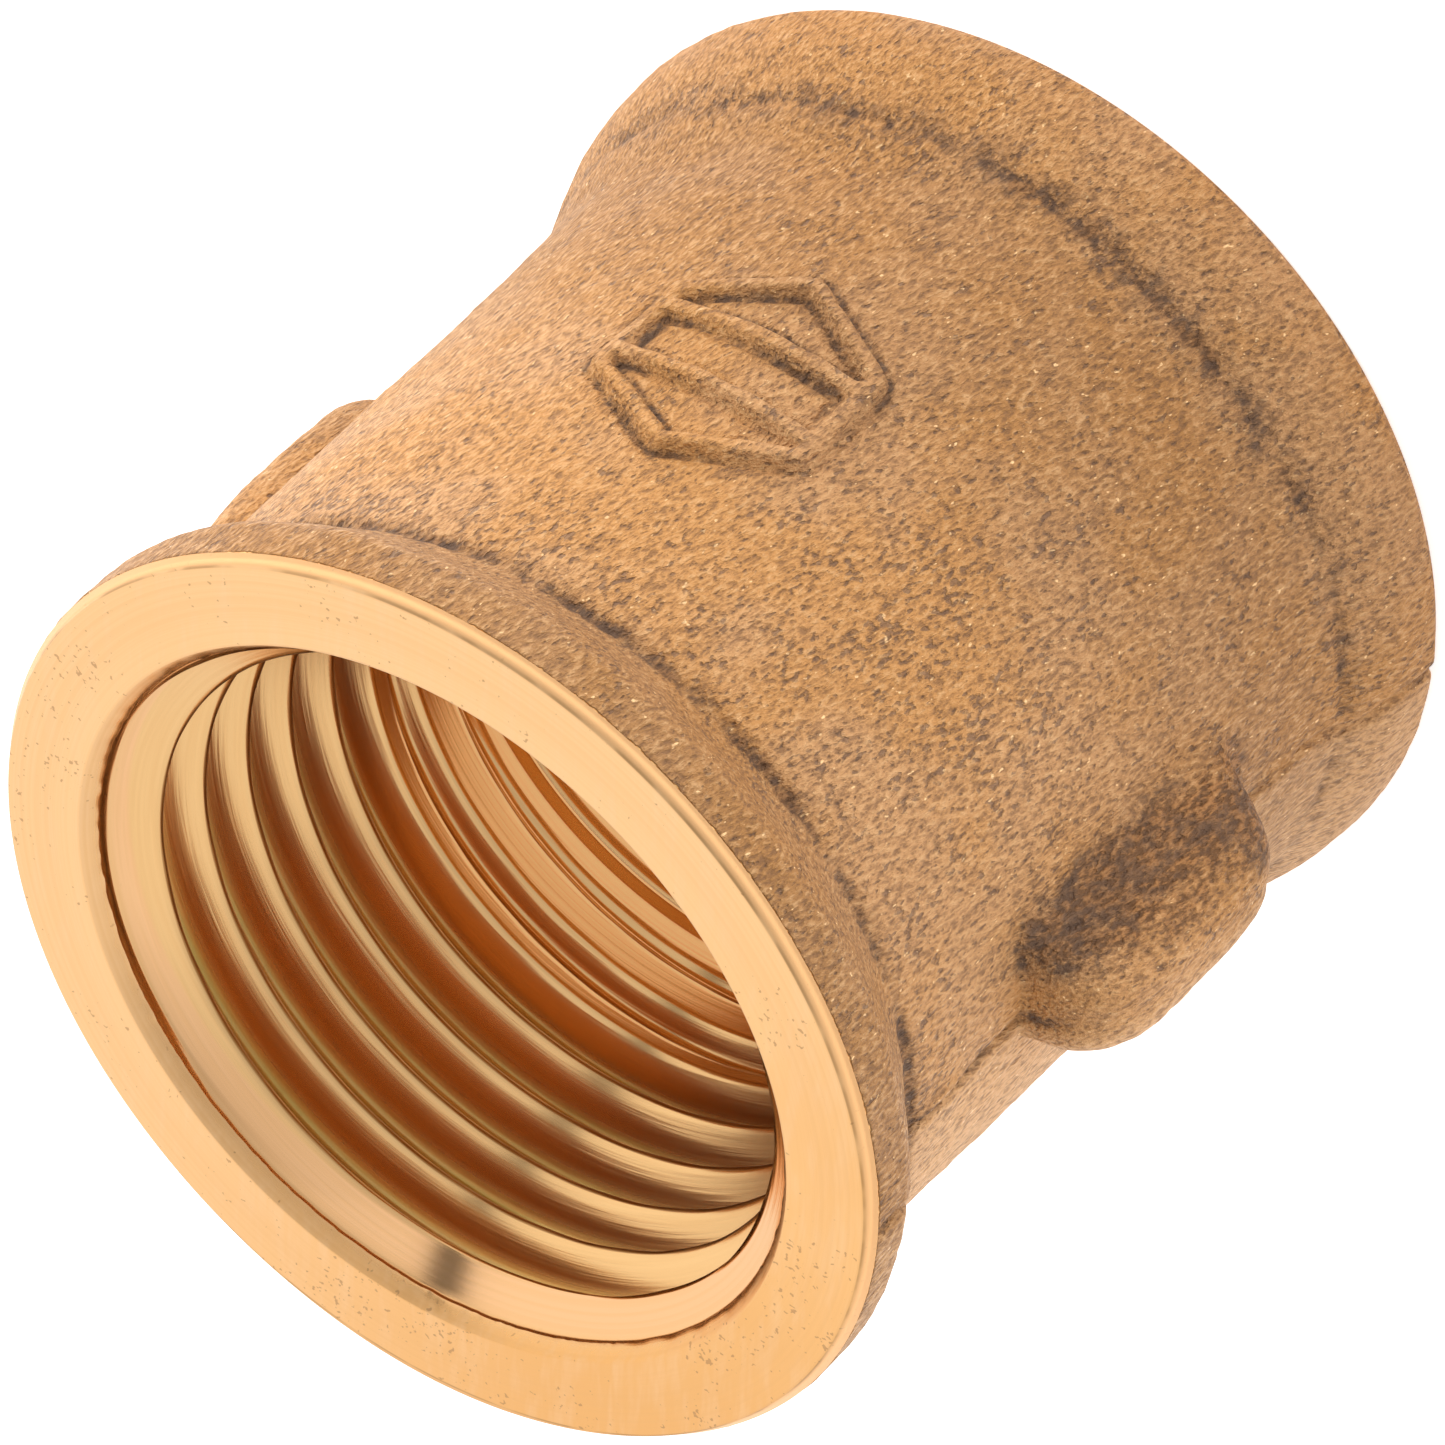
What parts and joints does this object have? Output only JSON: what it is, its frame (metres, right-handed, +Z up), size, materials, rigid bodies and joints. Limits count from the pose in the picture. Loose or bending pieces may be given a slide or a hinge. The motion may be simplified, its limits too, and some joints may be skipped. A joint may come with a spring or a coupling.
{
  "type": "reducing coupling",
  "caption": "Short female-to-female pipe coupling in cast gunmetal, internally threaded from both ends, with a bead collar round each end and two side lugs.",
  "frame": {"origin": "centre of the lower end face, on the bore axis", "axes": "+Z up the bore towards the upper end face; the lugs stand on +X and -X; the raised mark faces -Y"},
  "size_m": [0.0288, 0.027, 0.0257],
  "materials": {
    "cast_gunmetal": "as cast, sand-grained",
    "machined_gunmetal": "machined, satin"
  },
  "bodies": {
    "root": {"body": "cast_gunmetal", "upper_collar": "cast_gunmetal", "lower_collar": "cast_gunmetal", "lug_left": "cast_gunmetal", "lug_right": "cast_gunmetal", "casting_mark": "cast_gunmetal"}
  },
  "joints": []
}
